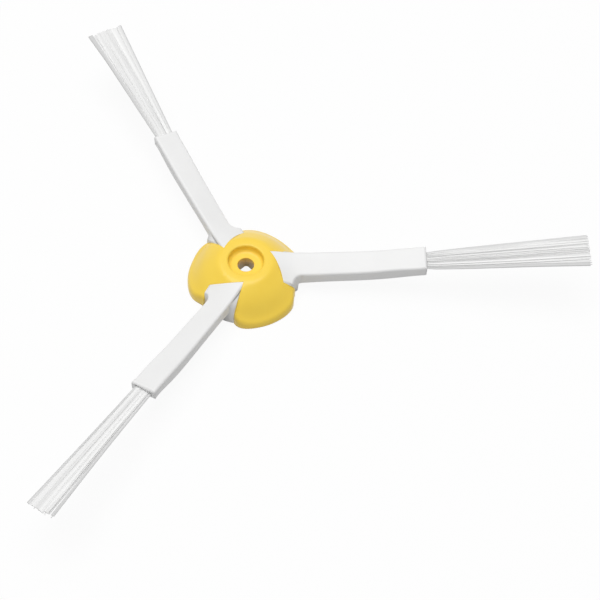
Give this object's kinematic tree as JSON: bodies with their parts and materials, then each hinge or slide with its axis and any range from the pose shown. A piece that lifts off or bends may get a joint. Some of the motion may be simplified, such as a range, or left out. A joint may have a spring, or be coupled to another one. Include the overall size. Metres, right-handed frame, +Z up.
{
  "type": "robot vacuum side brush",
  "caption": "Side brush of a robot vacuum cleaner: a domed hub with a square drive socket and a screw hole, and soft swept arms that each end in a tuft of bristles.",
  "frame": {"origin": "centre of the drive socket's mouth, on the hub's axis in the plane of its underside", "axes": "+Z up along the hub's axis, to the side where the screw enters; +X along arm_1; arm_2 and arm_3 follow anticlockwise seen from +Z"},
  "size_m": [0.1396, 0.1594, 0.0191],
  "materials": {
    "hub_plastic": "glossy injection-moulded yellow",
    "arm_rubber": "satin white soft elastomer",
    "bristle_nylon": "translucent white nylon filament"
  },
  "bodies": {
    "root": {"hub": "hub_plastic", "arm_1": "arm_rubber", "arm_2": "arm_rubber", "arm_3": "arm_rubber", "tuft_1": "bristle_nylon", "tuft_2": "bristle_nylon", "tuft_3": "bristle_nylon"}
  },
  "joints": []
}
